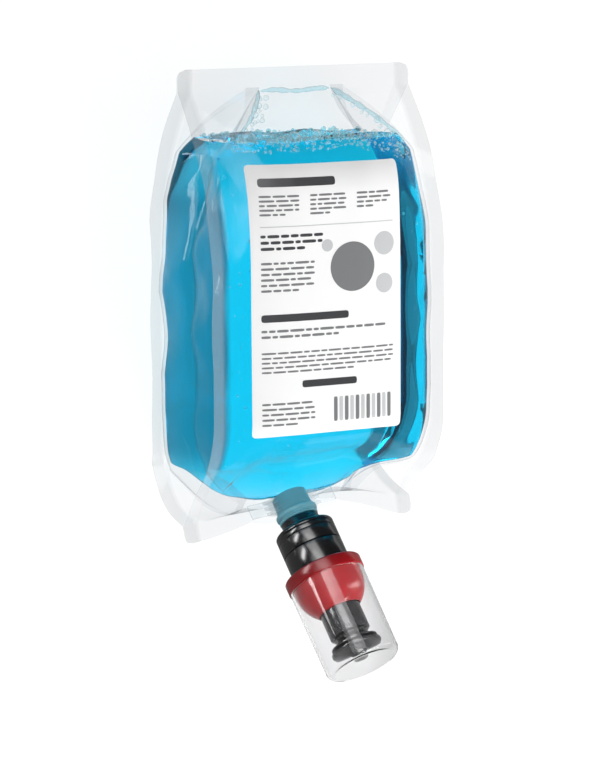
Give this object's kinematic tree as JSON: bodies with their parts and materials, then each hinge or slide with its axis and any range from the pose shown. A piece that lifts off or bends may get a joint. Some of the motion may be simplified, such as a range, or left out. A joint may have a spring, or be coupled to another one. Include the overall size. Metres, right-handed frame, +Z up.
{
  "type": "hand soap refill pack",
  "caption": "Clear side-gusset film pouch of blue hand soap with a plain front label, lying on its back, and a dosing pump with a clear overcap on its spout.",
  "frame": {"origin": "middle of the flat back panel, on the surface the pack lies on", "axes": "+Z up out of the label, +Y along the pack to its top seal, +X to the right with the label's top away from the viewer"},
  "size_m": [0.1111, 0.2622, 0.0951],
  "materials": {
    "film": "clear polyethylene film",
    "soap": "clear blue liquid",
    "label": "white satin label film",
    "natural": "natural polyethylene",
    "black": "black satin",
    "red": "red satin",
    "silicone": "soft translucent",
    "clear": "clear polypropylene"
  },
  "bodies": {
    "pack": {"pouch_film": "film", "liquid_soap": "soap", "front_label": "label", "spout": "natural", "snap_collar": "black", "spout_gasket": "silicone", "pump_body": "black", "inlet_valve": "silicone", "bell_guide": "red"},
    "plunger": {"piston_stem": "black", "piston_seal": "silicone", "nozzle": "black", "outlet_valve": "silicone"},
    "cap": {"overcap": "clear"}
  },
  "joints": [
    {"name": "pump_stroke", "type": "slide", "parent": "pack", "child": "plunger", "axis": [-0.119, 0.7867, -0.6058], "range_m": [0, 0.012]},
    {"name": "cap_pull", "type": "slide", "parent": "pack", "child": "cap", "axis": [0.119, -0.7867, 0.6058], "range_m": [0, 0.055]}
  ]
}
